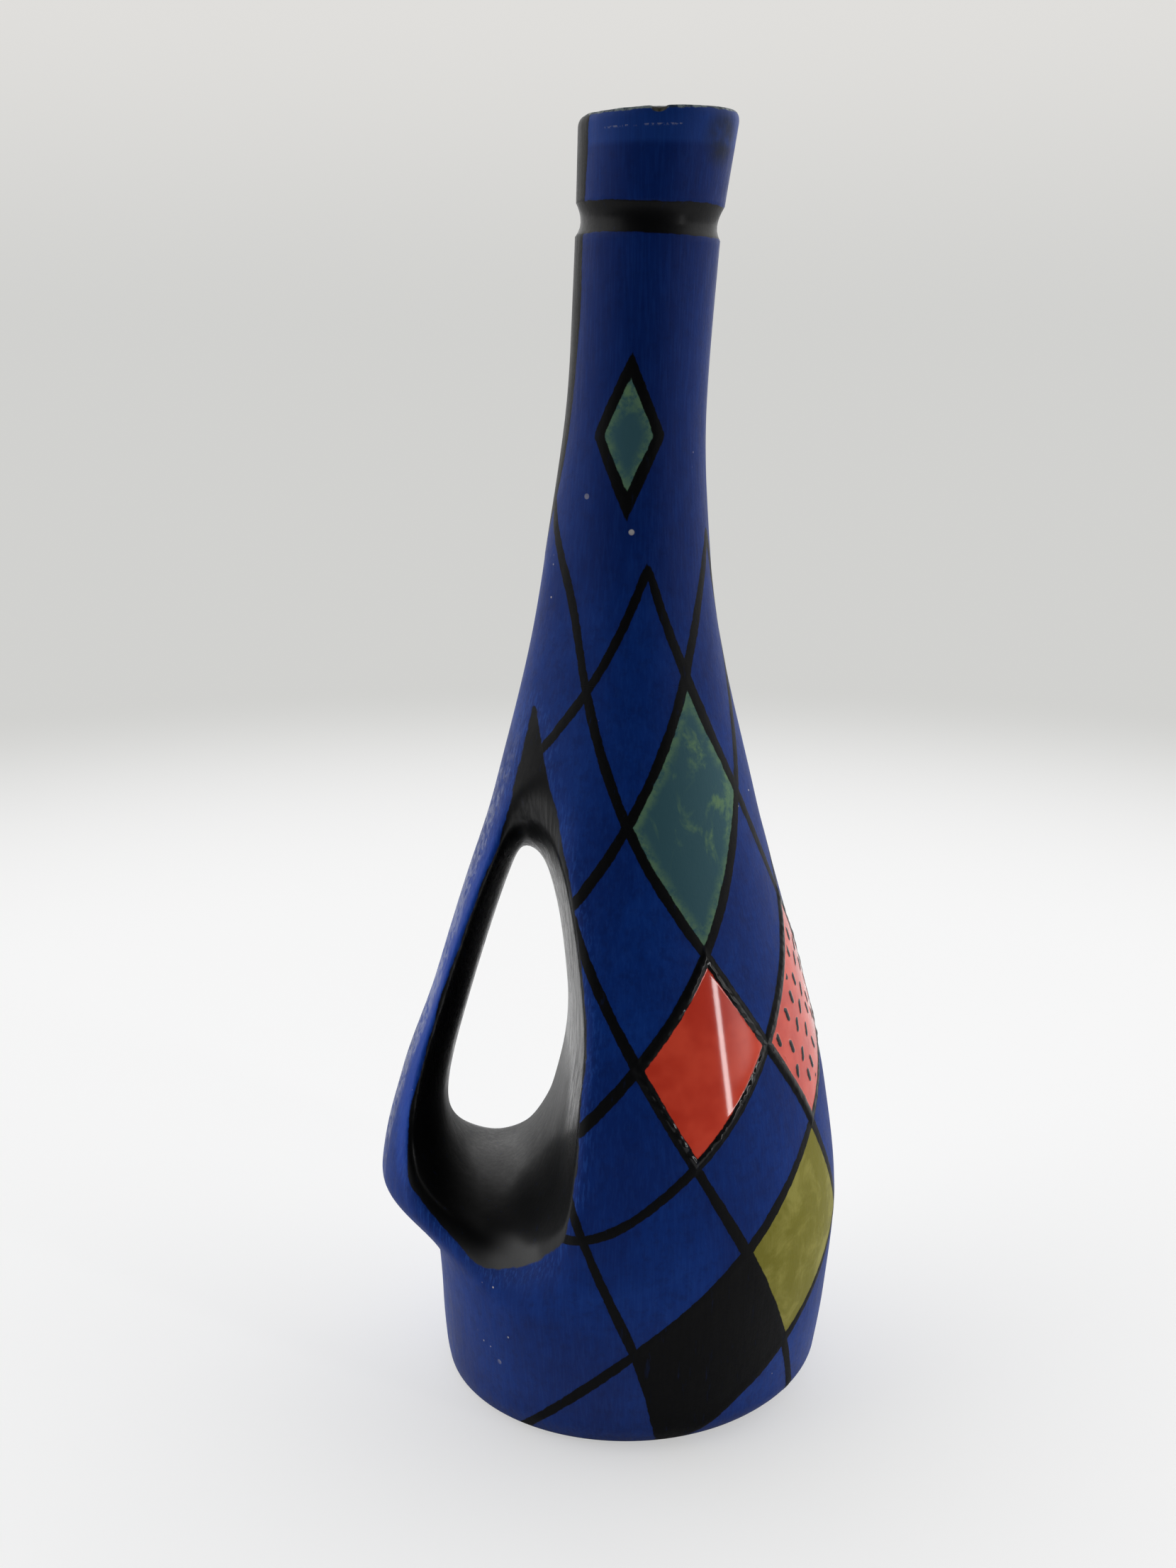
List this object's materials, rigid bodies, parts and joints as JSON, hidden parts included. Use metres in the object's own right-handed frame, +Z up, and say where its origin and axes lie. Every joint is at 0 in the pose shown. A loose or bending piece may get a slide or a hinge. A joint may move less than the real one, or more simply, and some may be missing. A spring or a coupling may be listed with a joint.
{
  "type": "jug",
  "caption": "Tall glazed ceramic jug with a wide belly, long leaning neck, grooved mouth with a pouring lip, and an opening through its side that leaves a handle.",
  "frame": {"origin": "middle of the flat underside of the foot, on the surface the jug stands on", "axes": "+Z up; +X towards the pouring lip and -X towards the handle; the opening runs through along Y"},
  "size_m": [0.1332, 0.119, 0.3507],
  "materials": {
    "cobalt_blue_glaze": "satin cobalt blue glaze painted with black lines and coloured fields",
    "bare_clay": "bare fired clay under the foot, with blue glaze down to its rounded edge"
  },
  "bodies": {
    "root": {"foot": "bare_clay", "belly": "cobalt_blue_glaze", "handle": "cobalt_blue_glaze", "shoulder": "cobalt_blue_glaze", "neck": "cobalt_blue_glaze", "mouth_collar": "cobalt_blue_glaze"}
  },
  "joints": []
}
